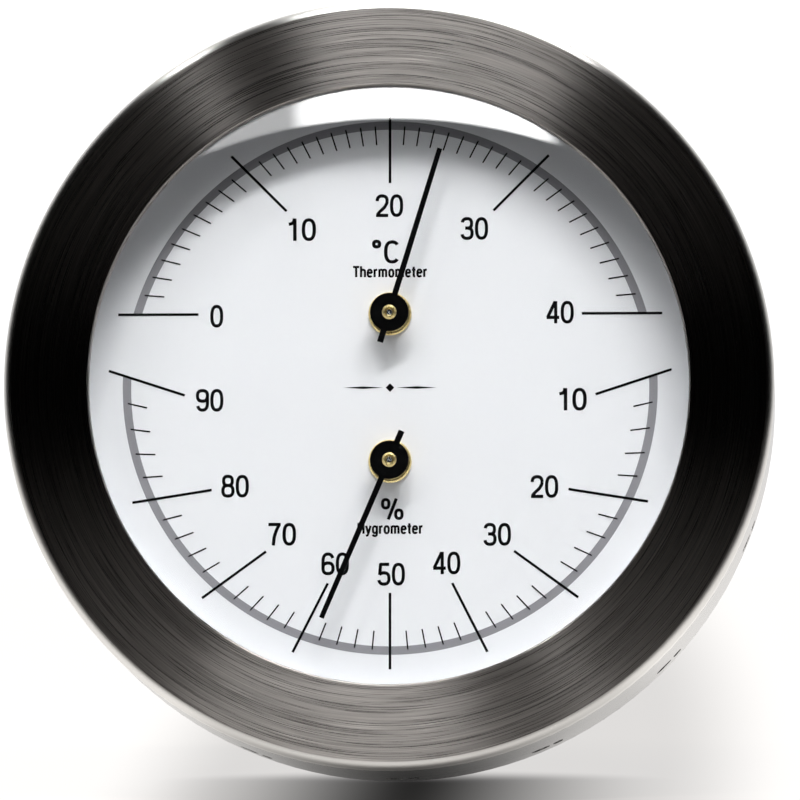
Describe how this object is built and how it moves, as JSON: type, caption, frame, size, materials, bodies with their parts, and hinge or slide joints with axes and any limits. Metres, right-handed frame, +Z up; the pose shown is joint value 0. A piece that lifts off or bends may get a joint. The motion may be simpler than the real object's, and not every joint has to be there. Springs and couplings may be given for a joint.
{
  "type": "dial hygrometer",
  "caption": "Round wall-hung thermometer and hygrometer: vented steel case, flat bezel, glass and a white dial with a thin black pointer for each scale.",
  "frame": {"origin": "centre of the case's flat back, on the wall", "axes": "+Z up the dial towards the wall screw, -Y out of the wall through the dial, +X to the reader's right"},
  "size_m": [0.132, 0.042, 0.132],
  "materials": {
    "case_steel": "stainless steel, brushed round the side",
    "bezel_steel": "stainless steel, satin turned face with a bright rounded edge",
    "gasket_rubber": "dull",
    "clear_glass": "clear and flat",
    "spacer_plastic": "satin light grey",
    "dial_paint": "matt white with black and grey printing",
    "pillar_aluminium": "turned",
    "screw_steel": "bright",
    "plate_brass": "satin sheet",
    "turned_brass": "turned",
    "nut_brass": "polished",
    "bimetal_strip": "rolled strip, coppery",
    "shaft_steel": "ground",
    "spring_steel": "blued",
    "pointer_paint": "satin black",
    "hair_fibre": "bundle of straight fibres"
  },
  "bodies": {
    "case": {"case_band": "case_steel", "case_back": "case_steel", "bezel_ring": "bezel_steel", "glass_gasket": "gasket_rubber", "front_glass": "clear_glass", "spacer_ring": "spacer_plastic", "dial_plate": "dial_paint", "mounting_pillars": "pillar_aluminium", "dial_screws": "screw_steel", "thermometer_frame": "plate_brass", "thermometer_bush": "turned_brass", "thermometer_nut": "nut_brass", "thermometer_bearing": "turned_brass", "bimetal_spiral": "bimetal_strip", "spiral_anchor_post": "turned_brass", "hygrometer_plate": "plate_brass", "hygrometer_bush": "turned_brass", "hygrometer_nut": "nut_brass", "hygrometer_bearing": "turned_brass", "hygrometer_bridge": "plate_brass", "bridge_pillars": "turned_brass", "bridge_screws": "screw_steel", "hairspring": "spring_steel", "hairspring_post": "turned_brass", "sector_stud": "shaft_steel", "sector_clip": "spring_steel", "adjuster_washer": "spring_steel"},
    "thermometer_hand": {"thermometer_shaft": "shaft_steel", "thermometer_hub": "turned_brass", "thermometer_collet": "nut_brass", "thermometer_pointer": "pointer_paint"},
    "hygrometer_hand": {"hygrometer_shaft": "shaft_steel", "hygrometer_hub": "turned_brass", "hygrometer_pinion": "turned_brass", "hygrometer_collet": "nut_brass", "hygrometer_pointer": "pointer_paint"},
    "sector": {"sector_gear": "plate_brass", "hair_hook": "turned_brass"},
    "adjuster": {"adjuster_arbor": "turned_brass", "adjuster_lever": "plate_brass", "hair_clamp": "turned_brass", "hair_clamp_screw": "screw_steel", "hair_bundle": "hair_fibre"}
  },
  "joints": [
    {"name": "thermometer_turn", "type": "hinge", "parent": "case", "child": "thermometer_hand", "pos_m": [0, -0.034, 0.0127], "axis": [0, 1, 0], "range_deg": [-107.1, 72.9], "stiffness_Nm_per_rad": 0.003, "deforming": ["bimetal_spiral"]},
    {"name": "hygrometer_turn", "type": "hinge", "parent": "case", "child": "hygrometer_hand", "pos_m": [0, -0.034, -0.0127], "axis": [0, 1, 0], "range_deg": [-158.22, 111.78], "stiffness_Nm_per_rad": 0.003, "deforming": ["hairspring", "hair_bundle"]},
    {"name": "sector_turn", "type": "hinge", "parent": "case", "child": "sector", "pos_m": [-0.0273, -0.027, -0.0127], "axis": [0, 1, 0], "range_deg": [-9.4, 13.3], "deforming": ["hair_bundle"]},
    {"name": "adjuster_turn", "type": "hinge", "parent": "case", "child": "adjuster", "pos_m": [0.047, -0.0311, -0.0176], "axis": [0, 1, 0], "range_deg": [-10, 10], "deforming": ["hair_bundle"]}
  ],
  "couplings": [
    {"joint": "sector_turn", "follows": "hygrometer_turn", "ratio": -0.083333}
  ]
}
